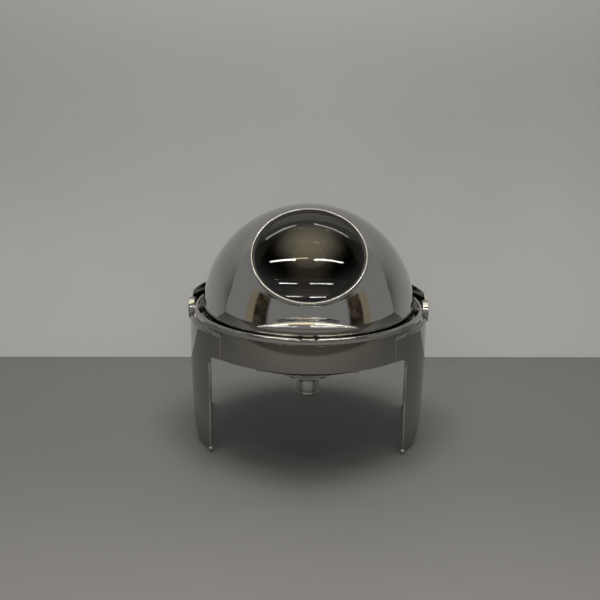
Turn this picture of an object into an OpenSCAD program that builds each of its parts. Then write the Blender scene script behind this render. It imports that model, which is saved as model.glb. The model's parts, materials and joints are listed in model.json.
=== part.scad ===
// Round roll top chafer: a polished hemispherical lid with a round window rolls back
// about a level axis, over a food pan that sits in a water pan above a small burner.
// Millimetres, +Z up, front towards -Y, origin on the floor under the middle of the outline.

/* [Roll top lid] */
// Outer radius of the lid, centred on the lid axis
dome_r = 212; // [208:1:214]
// Sheet thickness of the lid
dome_t = 1.2; // [1:0.1:1.6]
// Elevation of the window's axis above the horizon, in degrees
window_tilt = 49.4; // [46:0.2:53]
// Outer radius of the window's drawn neck
neck_r = 107.4; // [104:0.2:108]
// Distance of the neck's top edge from the lid's centre
neck_top = 186.5; // [185:0.5:188]
// Radius of the flare where the neck meets the lid
neck_flare = 12; // [9:1:14]

/* [Handle] */
// Distance of the grip's centre line from the lid axis
grip_reach = 252; // [248:1:254]
// Elevation of the grip seen from the lid axis, in degrees
grip_tilt = 9.6; // [9:0.2:12]
// Length of the grip
grip_len = 185; // [160:1:200]
// Thickness of the grip at its middle
grip_d = 25; // [20:1:26]
// Spacing of the two posts that carry the grip
post_gap = 34; // [28:1:50]

/* [Stand] */
// Height of the lid axis above the floor
axis_h = 252; // [248:1:262]
// Play between the lid and the rolled bead around it
lid_gap = 8; // [7.5:0.5:11]
// Width of the rolled bead
bead_w = 8.5; // [8:0.5:10]
// Height of the rolled bead
bead_h = 13; // [11:0.5:14]
// Height of the skirt band under the bead
band_h = 54.5; // [50:0.5:58]
// Sheet thickness of the stand
sheet = 1.5; // [1.2:0.1:1.8]
// How far each side frame stands out past the bead at the lid axis
side_bulge = 8; // [6:0.5:9]
// Angle from the front to the seam of each side frame, in degrees
seam_angle = 46.5; // [44:0.5:48]
// Distance of each front leg's straight edge from the lid axis
leg_edge = 133; // [128:1:136]
// Distance of each rear leg's straight edge from the lid axis
rear_edge = 100; // [98:1:102]
// Radius of the swept corner at the bottom of each front leg
leg_sweep = 78; // [72:1:82]
// Radius of the ball feet
foot_r = 5; // [4.5:0.1:5.5]
// Height of the rear guard's top edge above the lid axis
guard_top = 29; // [24:0.5:30]

/* [Pans] */
// Radius of the water pan's wall
water_r = 183; // [180:1:184]
// Bottom of the water pan below the lid axis
water_low = 78; // [76:1:79]
// Radius of the food pan's wall
food_r = 176; // [172:1:177]
// Bottom of the food pan below the lid axis
food_low = 69; // [60:1:70]
// Outer radius of the food pan's rim
food_rim_r = 194.5; // [190:0.5:194.5]

/* [Burner] */
// Radius of the fuel cup
cup_r = 24; // [22:0.5:24]
// Bottom of the fuel cup below the lid axis
cup_low = 178; // [172:1:180]
// Height of the fuel cup's body
cup_h = 33; // [28:1:34]
// Underside of the snuffer lid above the plate's underside
snuffer_up = 6.5; // [6.4:0.1:8]
// Radius of the burner plate
plate_r = 52; // [48:1:54]
// Burner plate's underside below the lid axis
plate_low = 132.5; // [130:0.5:134]

/* [Hidden] */
$fn = 96;
cut = 0.01;                                   // overshoot of a cut past the face it starts on
far = 600;                                    // larger than any piece
bead_in = dome_r + lid_gap;                   // inner radius of the rolled bead
bead_out = bead_in + bead_w;
bead_mid = (bead_in + bead_out) / 2;
band_r = bead_out - 2.5;                      // outer radius of the skirt band
front_reach = grip_reach * cos(grip_tilt) + grip_d / 2;
axis_y = (front_reach - bead_out) / 2;        // puts the origin under the middle of the outline

// Each side frame is an arc that meets the band at its seams and bulges out at the axis.
seam_r = band_r + sheet;
seam_x = seam_r * sin(seam_angle);
seam_y = seam_r * cos(seam_angle);
side_x = bead_out + side_bulge;
side_cx = (side_x * side_x - seam_x * seam_x - seam_y * seam_y) / (2 * (side_x - seam_x));
side_r = side_x - side_cx;
shoulder_r = 10;                              // rounding of each side frame's top edge
shoulder_z = -2;
arch_half = leg_edge - leg_sweep;             // half width of the arch where its corners begin
rear_sweep = rear_edge - arch_half;
rod_r = 2;                                    // bead that stiffens each leg's straight edge
knee_r = 14;                                  // rounded corner between the band's edge and a leg
function edge_x(edge) = side_cx + sqrt(pow(side_r - sheet / 2, 2) - edge * edge);
foot_z = foot_r - 0.4 - axis_h;               // ball feet stand on a small ground flat

// Lid pivots
spindle_r = 7;
running_gap = 0.05;
housing_r = 22;
housing_end = side_x + 1.6;
cap_r = 21;
cap_end = housing_end + 4.4;
lug_r = 20;
lug_in = 206.8;
bush_r = 11;
ear_out = 206.3;
ear_in = 201;

// Pan support ring
support_r = 203.5;
ledge_z = -19;
ledge_in = 188;
bridge_top = -12.5;
bridge_angle = 44;
pad_angle = 41.5;

// ---------------------------------------------------------------- helpers

// Points of an arc about (cx, cy) from angle a0 to a1, in n steps.
function arc_points(cx, cy, r, a0, a1, n) =
    [for (k = [0 : n]) let (a = a0 + (a1 - a0) * k / n) [cx + r * cos(a), cy + r * sin(a)]];

// Moves children from the lid axis frame to the part's own frame.
module at_axis() translate([0, axis_y, axis_h]) children();

// Puts children made for the right side on the right (1) or the left (-1).
module on_side(s) {
    if (s > 0) children();
    else mirror([1, 0, 0]) children();
}

module both_sides() {
    children();
    mirror([1, 0, 0]) children();
}

module both_ends() {
    children();
    mirror([0, 1, 0]) children();
}

// Round bar along X from x0 to x1.
module bar_x(x0, x1, r) translate([x0, 0, 0]) rotate([0, 90, 0]) cylinder(h = x1 - x0, r = r);

// Ring of rectangular section about Z.
module ring(r0, r1, z0, z1) difference() {
    translate([0, 0, z0]) cylinder(h = z1 - z0, r = r1);
    translate([0, 0, z0 - cut]) cylinder(h = z1 - z0 + 2 * cut, r = r0);
}

// Bead of round section about Z.
module round_bead(r, z, section) translate([0, 0, z]) rotate_extrude() translate([r, 0]) circle(r = section);

// Sector of a disc seen from above, half its angle either side of the front.
module front_sector(half) {
    reach = 1.6 * far;
    linear_extrude(height = far, center = true)
        polygon([[0, 0], [-reach * sin(half), -reach * cos(half)], [reach * sin(half), -reach * cos(half)]]);
}

// Turns children from "up" to the window's axis.
module on_window_axis() rotate([90 - window_tilt, 0, 0]) children();

// Turns children, made with "up" as outwards, to the grip's direction.
module on_grip_axis() rotate([90 - grip_tilt, 0, 0]) children();

// ---------------------------------------------------------------- stand

// Skirt band: the hoop of polished sheet under the bead.
module skirt_band() color("silver") at_axis() difference() {
    ring(band_r - sheet, band_r, -band_h, 0);
    bar_x(-far, far, spindle_r + 0.2);
}

module stadium(w, h, x, z0) {
    translate([x, z0 + w / 2]) circle(r = w / 2);
    translate([x, z0 + h - w / 2]) circle(r = w / 2);
    translate([x - w / 2, z0 + w / 2]) square([w, h - w]);
}

// Rolled bead: a hollow, upright oval tube along the top of the band.
module rim_bead() color("silver") at_axis() difference() {
    rotate_extrude() difference() {
        stadium(bead_w, bead_h, bead_mid, 0);
        stadium(bead_w - 2 * dome_t, bead_h - 2 * dome_t, bead_mid, dome_t);
    }
    bar_x(-far, far, spindle_r + 0.2);
}

// Side view of one side frame: an apron with two sabre legs and an arch between them.
// One half, from the middle of the top edge, down the leg and over the arch.
ball_cut = foot_r + 0.15;
function half_outline(edge, sweep, bow, crown_z) = let (
    leg_front = edge - rod_r - 0.05,
    corner_z = sweep - axis_h + 4,
    lean = atan2(crown_z - corner_z, bow - arch_half),
    crown_r = bow - norm([bow - arch_half, crown_z - corner_z])
) concat(
    [[0, 0], [seam_y, 0], [seam_y, -band_h]],
    arc_points(leg_front + knee_r, -band_h - knee_r, knee_r, 90, 180, 8),
    arc_points(edge, foot_z, ball_cut, 180 - acos(2.05 / ball_cut), 184.6, 6),
    arc_points(edge, corner_z, sweep, 270 - asin(5.44 / sweep), 180, 20),
    arc_points(arch_half - bow, corner_z, bow, lean / 4, lean, 3),
    arc_points(0, crown_z, crown_r, lean + 4, 90, 16)
);
front_half = half_outline(leg_edge, leg_sweep, 120, -150);
rear_half = half_outline(rear_edge, rear_sweep, 200, -139.9);

module side_outline() polygon(concat(
    [for (point = rear_half) point],
    [for (k = [len(front_half) - 2 : -1 : 1]) [-front_half[k][0], front_half[k][1]]]));

// One side frame: bent sheet with a rounded shoulder, joining a front and a rear leg.
module side_frame(s) color("silver") at_axis() on_side(s) difference() {
    intersection() {
        translate([side_cx, 0, 0]) rotate_extrude($fn = 180) side_section();
        rotate([90, 0, 90]) linear_extrude(height = far) side_outline();
    }
    translate([0, 0, -band_h - 1]) cylinder(h = band_h + 60, r = band_r + 0.1);
    translate([0, 0, -far]) cylinder(h = far - band_h, r = band_r - sheet);
    translate([0, 0, 0.1]) cylinder(h = 60, r = bead_out + 0.2);
    bar_x(side_cx, far, housing_r + 0.1);
}

module side_section() {
    mid_r = side_r - shoulder_r;
    mid_z = shoulder_z - shoulder_r;
    polygon(concat(
        [[side_r - sheet, -axis_h], [side_r, -axis_h]],
        arc_points(mid_r, mid_z, shoulder_r, 0, 90, 10),
        [[mid_r - shoulder_r, shoulder_z], [mid_r - shoulder_r, shoulder_z - sheet]],
        arc_points(mid_r, mid_z, shoulder_r - sheet, 90, 0, 10)
    ));
}

// Round bead along the straight edge of each leg.
rod_low = foot_z + foot_r - 0.6;
module at_leg_edges() both_sides() for (end = [[leg_edge, -1], [rear_edge, 1]])
    translate([edge_x(end[0]), end[1] * end[0], 0]) children();

module leg_edge_rods() color("gainsboro") at_axis() at_leg_edges()
    translate([0, 0, rod_low]) cylinder(h = -band_h - knee_r - 0.1 - rod_low, r = rod_r);

// Ball feet at the ends of the edge rods, each ground flat where it stands.
module ball_feet() color("gainsboro") at_axis() at_leg_edges() difference() {
    translate([0, 0, foot_z]) sphere(r = foot_r);
    translate([-foot_r, -foot_r, -axis_h - foot_r]) cube([2 * foot_r, 2 * foot_r, foot_r]);
    translate([0, 0, rod_low - 0.05]) cylinder(h = foot_r, r = rod_r + 0.2);
}

// Clips that hook each side frame's front corner over the band.
module seam_clips() color("gainsboro") at_axis() both_sides()
    rotate([0, 0, seam_angle]) translate([0, -band_r - 1.4, -5]) intersection() {
        translate([-3, -1.2, 0]) cube([6, 2.4, 4.6]);
        rotate([90, 0, 0]) cylinder(h = 4, r = 4.4, center = true);
    }

// Rivets that fasten the side frames to the band, heads inside the band.
module band_rivets() color("gainsboro") at_axis() both_sides() both_ends()
    for (a = [seam_angle + 3.5, seam_angle + 12], z = [-14, -band_h + 12])
        rotate([0, 0, a]) translate([0, -band_r + sheet + 1.3, z]) rotate([90, 0, 0])
            cylinder(h = 1.2, r = 3.4);

// Rear guard: a rolled angle that stands behind the bead from pivot to pivot, to catch drips
// from the open lid. In plan it is one arc through both pivots and just behind the bead.
guard_side = side_x - 0.2;
guard_back = bead_out + 3.5;
guard_cy = (guard_back * guard_back - guard_side * guard_side) / (2 * guard_back);
guard_r = guard_back - guard_cy;
guard_sheet = 1.2;
guard_foot = shoulder_z + 0.1;

module rear_guard() color("silver") at_axis() intersection() {
    difference() {
        translate([0, guard_cy, 0]) rotate_extrude($fn = 240) polygon([
            [guard_r - 14, guard_foot], [guard_r, guard_foot], [guard_r, guard_top],
            [guard_r - guard_sheet, guard_top], [guard_r - guard_sheet, guard_foot + guard_sheet],
            [guard_r - 14, guard_foot + guard_sheet]]);
        translate([0, 0, -far / 2]) cylinder(h = far / 2, r = band_r + 0.1);
        translate([0, 0, -cut]) cylinder(h = bead_h + 2 * cut, r = bead_out + 0.1);
        bar_x(-far, far, housing_r + 0.1);
    }
    guard_side_view();
}

// Side view of the guard: its top edge rises in a curve from each pivot housing.
guard_start = 3;
guard_rise = 34;
module guard_side_view() rotate([90, 0, 90]) linear_extrude(height = far, center = true) polygon(concat(
    [[far, guard_foot - 1], [guard_start, guard_foot - 1], [guard_start, housing_r]],
    arc_points(guard_start + guard_rise, guard_top + 1 - guard_rise, guard_rise, 168, 90, 12),
    [[far, guard_top + 1]]
));

// ---------------------------------------------------------------- pivots

// Round housing that holds the spindle outside the bead.
module pivot_housing(s) color("silver") at_axis() on_side(s) difference() {
    bar_x(band_r - 8, housing_end, housing_r);
    translate([0, 0, -far / 2]) cylinder(h = far / 2 + 0.1, r = band_r + 0.1);
    cylinder(h = far, r = bead_out + 0.1);
    bar_x(band_r - 9, far, spindle_r + 0.02);
    bar_x(housing_end - 5, far, 13);
}

// Domed cap over the end of the housing.
module pivot_cap(s) color("silver") at_axis() on_side(s) intersection() {
    bar_x(housing_end + 0.05, cap_end + 1, cap_r);
    translate([cap_end - 60, 0, 0]) sphere(r = 60, $fn = 180);
}

// Fixed spindle: carries the support ring inside and lets the lid turn round it.
module spindle(s) color("gray") at_axis() on_side(s) {
    bar_x(ear_in - 0.05, housing_end - 2, spindle_r);
    intersection() {
        bar_x(ear_in - 2.4, ear_in - 0.04, 10);
        translate([ear_in - 2.4 + 25, 0, 0]) sphere(r = 25);
    }
}

// Spring washers, one in each housing, that give the lid its drag.
module friction_washers() color("dimgray") at_axis() both_sides() difference() {
    bar_x(housing_end - 4.9, housing_end - 2.6, 12);
    bar_x(housing_end - 6, housing_end, spindle_r + 0.1);
}

// ---------------------------------------------------------------- pan support

// Angle ring with two ears, hung on the spindles.
module support_ring() color("silver") at_axis() difference() {
    union() {
        ring(support_r - sheet, support_r, ledge_z - 6, -10);
        ring(ledge_in, support_r - sheet + cut, ledge_z - sheet, ledge_z);
        both_sides() bar_x(ear_in, ear_out, 14);
    }
    bar_x(-far, far, spindle_r + 0.05);
}

// Ledge across the front that ties the support ring to the band, under the closed lid.
module front_bridge() color("silver") at_axis() intersection() {
    ring(support_r + 0.1, band_r - sheet - 0.1, bridge_top - sheet, bridge_top);
    front_sector(bridge_angle);
}

// Pads on the bridge that the closed lid rests on.
module lid_rest_pads() color("tan") at_axis() both_sides()
    rotate([0, 0, pad_angle]) translate([-3.5, -dome_r - 1, bridge_top]) cube([7, 5.5, -bridge_top - 0.3]);

// ---------------------------------------------------------------- pans

// Deep drawn pan: flat bottom, rounded corner, straight wall and a flat, beaded flange.
module pan(wall_r, corner, low, flange_z, flange_r, t, bead) rotate_extrude($fn = 180) {
    polygon(concat(
        [[0, low]],
        arc_points(wall_r - corner, low + corner, corner, -90, 0, 12),
        [[wall_r, flange_z], [flange_r, flange_z], [flange_r, flange_z + t], [wall_r - t, flange_z + t]],
        arc_points(wall_r - corner, low + corner, corner - t, 0, -90, 12),
        [[0, low + t]]
    ));
    translate([flange_r, flange_z + bead + 0.1]) circle(r = bead);
}

module water_pan() color("silver") at_axis()
    pan(water_r, 14, -water_low, ledge_z + 0.1, support_r - 6, 1, 2);

module food_pan() color("silver") at_axis()
    pan(food_r, 22, -food_low, ledge_z + 1.4, food_rim_r - 2, 1, 2);

// ---------------------------------------------------------------- burner

strap_x = water_r + 1.5;
strap_t = 2.5;
strap_w = 26;
drop_x = 102;                                 // where the strap turns down to the plate
foot_end = plate_r - 18;                      // its inner end on the plate
screw_x = foot_end + 5;
knob_r = 4.5;
strap_foot_z = -plate_low + sheet + 0.05;

// Bent strap under the water pan, from the support ring to the burner plate.
module burner_hanger() color("gray") at_axis() difference() {
    both_sides() {
        translate([strap_x, -strap_w / 2, -water_low - 1 - strap_t])
            cube([strap_t, strap_w, water_low + 1 + strap_t + ledge_z - sheet - 0.05]);
        translate([strap_x, -strap_w / 2, ledge_z - sheet - 0.05 - strap_t])
            cube([support_r - sheet - 3 - strap_x, strap_w, strap_t]);
        translate([drop_x, -strap_w / 2, -water_low - 1 - strap_t])
            cube([strap_x - drop_x + cut, strap_w, strap_t]);
        translate([drop_x, -strap_w / 2, strap_foot_z])
            cube([strap_t, strap_w, plate_low - sheet - water_low - 1 - strap_t + cut]);
        translate([foot_end, -strap_w / 2, strap_foot_z]) cube([drop_x - foot_end + cut, strap_w, strap_t]);
    }
    both_sides() for (y = [-7, 7]) translate([screw_x, y, -plate_low]) cylinder(h = 6, r = 2.1);
}

// Round plate with a lip and vent holes; the fuel cup's neck comes up through its middle.
module burner_plate() color("gray") at_axis() difference() {
    union() {
        translate([0, 0, -plate_low]) cylinder(h = sheet, r = plate_r);
        ring(plate_r - sheet, plate_r, -plate_low, -plate_low + 3);
    }
    translate([0, 0, -plate_low - 1]) cylinder(h = 4, r = 18.5);
    for (k = [0 : 7]) rotate([0, 0, 22.5 + 45 * k])
        translate([31, 0, -plate_low - 1]) cylinder(h = 4, r = 3.5);
    both_sides() for (y = [-7, 7]) translate([screw_x, y, -plate_low - 1]) cylinder(h = 6, r = 2.1);
    both_sides() translate([foot_end, -strap_w / 2 - 0.1, strap_foot_z - 0.03]) cube([30, strap_w + 0.2, 5]);
}

// Pan head screws that join the hanger to the plate, and a knob at each bend of the strap.
module hanger_screws() color("gainsboro") at_axis() both_sides() {
    translate([drop_x + strap_t + 0.05, 0, strap_foot_z + knob_r]) rotate([0, 90, 0])
        cylinder(h = 3.5, r = knob_r);
    for (y = [-7, 7]) translate([screw_x, y, 0]) {
        translate([0, 0, -plate_low - 3]) cylinder(h = sheet + strap_t + 4, r = 2);
        translate([0, 0, -plate_low + sheet + strap_t + 0.1]) cylinder(h = 2.2, r = 3.8);
        translate([0, 0, -plate_low - 2.6]) cylinder(h = 2.5, r = 4, $fn = 6);
    }
}

// Four spring clips under the plate that grip the fuel cup.
module cup_clips() color("dimgray") at_axis() for (k = [0 : 3]) rotate([0, 0, 45 + 90 * k]) {
    translate([cup_r + 0.4, -3, -plate_low - 17]) cube([1.2, 6, 16.9]);
    translate([cup_r + 0.4, -3, -plate_low - 1.3]) cube([8, 6, 1.2]);
}

// Fuel cup: a small open can, with its neck and wick on top.
module fuel_cup() color("lightgray") at_axis() difference() {
    translate([0, 0, -cup_low]) cylinder(h = cup_h, r = cup_r);
    translate([0, 0, -cup_low + 1]) cylinder(h = cup_h - 2, r = cup_r - 1);
    translate([0, 0, -cup_low + cup_h - 2]) cylinder(h = 4, r = 15.5);
}

module cup_neck() color("dimgray") at_axis() {
    ring(14.5, 17.5, -cup_low + cup_h + 0.02, -plate_low + snuffer_up - 0.3);
}

module wick() color("ivory") at_axis()
    translate([0, 0, -cup_low + cup_h - 6]) cylinder(h = cup_low - cup_h + 8 - plate_low, r = 14.2);

// Swinging lid that puts out the flame, with a finger tab to the front.
pin_y = -24.5;
snuffer_t = 1.2;

module snuffer_lid() color("gray") at_axis() difference() {
    translate([0, 0, -plate_low + snuffer_up]) linear_extrude(height = snuffer_t) {
        circle(r = 20);
        translate([-5, pin_y]) square([10, -pin_y]);
        translate([0, pin_y]) circle(r = 5);
        translate([-4, pin_y - 31]) square([8, 31]);
        translate([0, pin_y - 31]) circle(r = 4);
    }
    translate([0, pin_y, -plate_low]) cylinder(h = 2 * snuffer_up, r = 2 + running_gap);
}

module snuffer_pin() color("gainsboro") at_axis() translate([0, pin_y, 0]) {
    translate([0, 0, -plate_low + sheet + 0.02]) cylinder(h = snuffer_up + snuffer_t + 0.8 - sheet, r = 2);
    translate([0, 0, -plate_low + snuffer_up + snuffer_t + 0.15]) cylinder(h = 1.4, r = 3.6);
}

// ---------------------------------------------------------------- lid

// The flare is an arc about this point, tangent to the lid and to the neck.
flare_x = neck_r + neck_flare;
flare_z = sqrt(pow(dome_r + neck_flare, 2) - flare_x * flare_x);
flare_a = atan2(flare_z, flare_x);
flare_n = 10;
function flare_end(r) = asin((flare_z - neck_top) / r);
function on_flare(r, k) = let (a = 180 + flare_a + (flare_end(r) - flare_a) * k / flare_n)
    [flare_x + r * cos(a), flare_z + r * sin(a)];
rim_r = flare_x - (neck_flare + dome_t / 2) * cos(flare_end(neck_flare + dome_t / 2));

// Half section of the flare and the drawn neck, about the window's axis.
module neck_section() polygon([
    on_flare(neck_flare + 0.03, 0),
    for (k = [1 : flare_n]) on_flare(neck_flare, k),
    for (k = [flare_n : -1 : 1]) on_flare(neck_flare + dome_t, k),
    on_flare(neck_flare + dome_t - 0.03, 0)
]);

// Lid shell: a hemisphere with the window's neck drawn out of it.
module dome_shell() color("silver") at_axis() {
    difference() {
        rotate([0, 0, 30]) difference() {
            sphere(r = dome_r, $fn = 360);
            sphere(r = dome_r - dome_t, $fn = 360);
        }
        translate([-far, -far, -far]) cube([2 * far, 2 * far, far]);
        on_window_axis() cylinder(h = 230, r1 = 0, r2 = 230 / tan(flare_a + 0.1));
        bar_x(-far, far, bush_r + 0.4);
    }
    on_window_axis() rotate([0, 0, 100]) rotate_extrude($fn = 360) neck_section();
}

// Hem: a strip that stiffens the lid's edge from inside.
module dome_hem() color("silver") at_axis() difference() {
    ring(dome_r - dome_t - 1.5, dome_r - dome_t - 0.25, 0, 8);
    both_sides() bar_x(dome_r - 12, dome_r + 12, lug_r + 1);
}

// Bright half-round ring on the neck's edge.
bezel_r = 1.35;

module window_bezel() color("white") at_axis() on_window_axis()
    round_bead(rim_r, neck_top + bezel_r + 0.05, bezel_r);

glass_r = 212.6;
glass_t = 3.6;
glass_edge = 103.5;
glass_low = sqrt(pow(glass_r - glass_t, 2) - glass_edge * glass_edge);

// Domed window glass, with the lid's own curve.
module window_glass() color([0.2, 0.2, 0.18, 0.5]) at_axis() on_window_axis() intersection() {
    difference() {
        sphere(r = glass_r, $fn = 360);
        sphere(r = glass_r - glass_t, $fn = 360);
    }
    cylinder(h = far, r = glass_edge);
}

// Rubber channel around the edge of the glass.
module window_gasket() color("black") at_axis() on_window_axis() difference() {
    ring(glass_edge - 3, neck_r - dome_t - 0.05, glass_low - 1, neck_top - 0.2);
    difference() {
        sphere(r = glass_r + 0.05, $fn = 360);
        sphere(r = glass_r - glass_t - 0.05, $fn = 360);
        difference() {
            cylinder(h = far, r = far);
            translate([0, 0, -1]) cylinder(h = far + 2, r = glass_edge + 0.05);
        }
    }
}

// Round lug inside the lid at each end of its axis.
module hinge_lug(s) color("gray") at_axis() on_side(s) difference() {
    rotate([0, 90, 0]) rotate_extrude() intersection() {
        translate([bush_r + 0.02, lug_in]) square([lug_r - bush_r - 0.02, 20]);
        circle(r = dome_r - dome_t - 0.05, $fn = 360);
    }
    for (a = [-55, 0, 55]) rotate([a, 0, 0]) translate([lug_in - 1, 0, 15.5]) rotate([0, 90, 0])
        cylinder(h = 10, r = 2.05);
}

// Rivets through the lid and its lugs.
module lug_rivets() color("gainsboro") at_axis() both_sides() for (a = [-55, 0, 55])
    rotate([a, 0, 0]) translate([lug_in + 0.3, 0, 15.5]) rotate([0, 90, 0])
        cylinder(h = dome_r - dome_t - 1.1 - lug_in, r = 2);

// Nylon bush in each lug, turning with the lid round the fixed spindle.
module pivot_bush(s) color("dimgray") at_axis() on_side(s) difference() {
    bar_x(lug_in, bead_in - 1.2, bush_r);
    bar_x(lug_in - 1, bead_in, spindle_r + running_gap);
}

// Spindle along X, fullest in the middle, grown by play and with this much trimmed off each end.
swell_r = (pow(grip_len / 2, 2) + pow(grip_d / 2, 2)) / grip_d;
module spindle_shape(play, trim) translate([0, 0, grip_reach]) rotate([0, 90, 0]) rotate_extrude()
    intersection() {
        translate([grip_d / 2 - swell_r + play, 0]) circle(r = swell_r, $fn = 360);
        translate([0, trim - grip_len / 2]) square([grip_d, grip_len - 2 * trim]);
    }

module handle_grip() color("silver") at_axis() on_grip_axis() spindle_shape(0, 2);

// Mount: a curved pad on the lid with two posts that carry the grip.
module handle_mount() color("silver") at_axis() difference() {
    on_grip_axis() {
        intersection() {
            difference() {
                sphere(r = dome_r + 3, $fn = 360);
                sphere(r = dome_r + 0.05, $fn = 360);
            }
            translate([0, 0, far / 2]) cube([post_gap + 14, 15, far], center = true);
        }
        both_sides() translate([post_gap / 2, 0, dome_r + 1]) cylinder(h = grip_reach - dome_r - 1, r = 4.5);
    }
    on_grip_axis() spindle_shape(0.05, 0);
}

// Screw heads and washers that hold the mount from inside the lid.
module handle_screws() color("gainsboro") at_axis() on_grip_axis() both_sides()
    translate([post_gap / 2, 0, dome_r - dome_t - 1.4]) {
        translate([0, 0, -1.4]) cylinder(h = 1.4, r = 5.5);
        translate([0, 0, -3.2]) cylinder(h = 1.8, r = 3.8, $fn = 6);
    }

// ---------------------------------------------------------------- nodes

skirt_band();
rim_bead();
side_frame(-1);  // side_frame_left
side_frame(1);  // side_frame_right
leg_edge_rods();
ball_feet();
seam_clips();
band_rivets();
pivot_housing(-1);  // pivot_housing_left
pivot_housing(1);  // pivot_housing_right
pivot_cap(-1);  // pivot_cap_left
pivot_cap(1);  // pivot_cap_right
spindle(-1);  // spindle_left
spindle(1);  // spindle_right
friction_washers();
support_ring();
rear_guard();
front_bridge();
lid_rest_pads();
water_pan();
burner_hanger();
burner_plate();
hanger_screws();
cup_clips();
dome_shell();
dome_hem();
window_bezel();
window_glass();
window_gasket();
hinge_lug(-1);  // hinge_lug_left
hinge_lug(1);  // hinge_lug_right
lug_rivets();
pivot_bush(-1);  // pivot_bush_left
pivot_bush(1);  // pivot_bush_right
handle_grip();
handle_mount();
handle_screws();
food_pan();
fuel_cup();
cup_neck();
wick();
snuffer_lid();
snuffer_pin();
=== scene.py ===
# %% [markdown]
# # A round roll top chafer
# A polished steel lid rolls back about a level axis over a food pan, a water pan and a small
# burner. Nearly everything on it is spun, drawn or rolled sheet, so most pieces here are turned
# from a half profile, as a metal spinner would make them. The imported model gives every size.

# %% Load the frame and measure it
import json
import math
import bmesh
import bpy
from mathutils import Matrix, Vector


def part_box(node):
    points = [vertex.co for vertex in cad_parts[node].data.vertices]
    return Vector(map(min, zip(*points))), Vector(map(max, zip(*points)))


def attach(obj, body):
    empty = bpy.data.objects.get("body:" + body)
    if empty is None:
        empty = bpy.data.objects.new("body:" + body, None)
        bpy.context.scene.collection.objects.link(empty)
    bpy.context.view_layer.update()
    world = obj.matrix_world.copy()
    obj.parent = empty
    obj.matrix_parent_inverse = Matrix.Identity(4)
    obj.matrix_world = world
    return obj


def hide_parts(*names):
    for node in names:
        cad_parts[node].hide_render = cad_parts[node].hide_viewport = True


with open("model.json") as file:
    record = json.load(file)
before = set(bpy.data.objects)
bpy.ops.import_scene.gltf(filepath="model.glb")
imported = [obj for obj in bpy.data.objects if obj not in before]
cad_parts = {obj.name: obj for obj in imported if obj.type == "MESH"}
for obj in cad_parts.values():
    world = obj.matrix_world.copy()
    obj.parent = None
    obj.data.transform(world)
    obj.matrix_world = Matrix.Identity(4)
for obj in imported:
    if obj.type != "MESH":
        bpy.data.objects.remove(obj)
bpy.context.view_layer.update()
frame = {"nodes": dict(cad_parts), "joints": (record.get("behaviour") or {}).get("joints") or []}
MM = 0.001
TURN = 2 * math.pi
LID_AXIS = Vector(next(j["pos_m"] for j in frame["joints"] if j["name"] == "roll_top_hinge"))
DOME_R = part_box("dome_shell")[1][1] - LID_AXIS.y

# %% [markdown]
# ## Camera
# The camera comes first, because it decides what is worth making well. It stands two metres off
# and looks slightly down. The lens is 60 mm, and a small roll and shift set the framing.

# %% Camera
DISTANCE = 2.013
ELEVATION = math.radians(17.0)
ROLL = math.radians(0.8)
camera_data = bpy.data.cameras.new("camera")
camera_data.lens = 60
camera_data.sensor_width = 36
camera_data.shift_x = -0.0142
camera_data.shift_y = 0.0153
camera = bpy.data.objects.new("camera", camera_data)
bpy.context.scene.collection.objects.link(camera)
sight = Vector((0, -math.cos(ELEVATION), math.sin(ELEVATION)))
camera.location = LID_AXIS + DISTANCE * sight
camera.rotation_euler = (
    (-sight).to_track_quat("-Z", "Y").to_matrix() @ Matrix.Rotation(ROLL, 3, "Z")
).to_euler()
bpy.context.scene.camera = camera
bpy.context.scene.view_settings.view_transform = "Standard"
print("camera at", [round(v, 3) for v in camera.location])

# %% [markdown]
# ## Small tools
# `lathe` turns a half profile into a mesh, `filleted` rounds a profile's corners first, because
# pressed and spun sheet has no knife edges, and `settle` gives a finished piece its place in the
# frame: its material, the body it rides on and the CAD nodes that it stands for.

# %% Profile tools
def arc(cx, cy, r, start, end, steps):
    """Points of an arc, in degrees."""
    turns = [math.radians(start + (end - start) * k / steps) for k in range(steps + 1)]
    return [(cx + r * math.cos(a), cy + r * math.sin(a)) for a in turns]


def filleted(points, radius, steps=4, loop=True):
    """The same outline with every corner rounded, as far as its sides allow."""
    out = []
    count = len(points)
    for k, point in enumerate(points):
        if not loop and k in (0, count - 1):
            out.append(point)
            continue
        here = Vector(point)
        before = Vector(points[k - 1]) - here
        after = Vector(points[(k + 1) % count]) - here
        reach = min(radius, 0.45 * before.length, 0.45 * after.length)
        if before.length < 1e-9 or after.length < 1e-9 or before.angle(after) > math.radians(170):
            out.append(point)
            continue
        first = here + before.normalized() * reach
        last = here + after.normalized() * reach
        for n in range(steps + 1):
            t = n / steps
            spot = (1 - t) ** 2 * first + 2 * t * (1 - t) * here + t ** 2 * last
            out.append((spot.x, spot.y))
    return out


# %% Mesh tools
def link(name, mesh):
    thing = bpy.data.objects.new(name, mesh)
    bpy.context.scene.collection.objects.link(thing)
    return thing


def from_bmesh(name, bm, sharp=40):
    """A linked object, smooth except over edges sharper than this many degrees."""
    bmesh.ops.remove_doubles(bm, verts=bm.verts, dist=1e-7)
    for face in bm.faces:
        face.smooth = True
    for edge in bm.edges:
        if len(edge.link_faces) == 2:
            edge.smooth = edge.calc_face_angle(0) < math.radians(sharp)
    mesh = bpy.data.meshes.new(name)
    bm.to_mesh(mesh)
    bm.free()
    return link(name, mesh)


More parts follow.
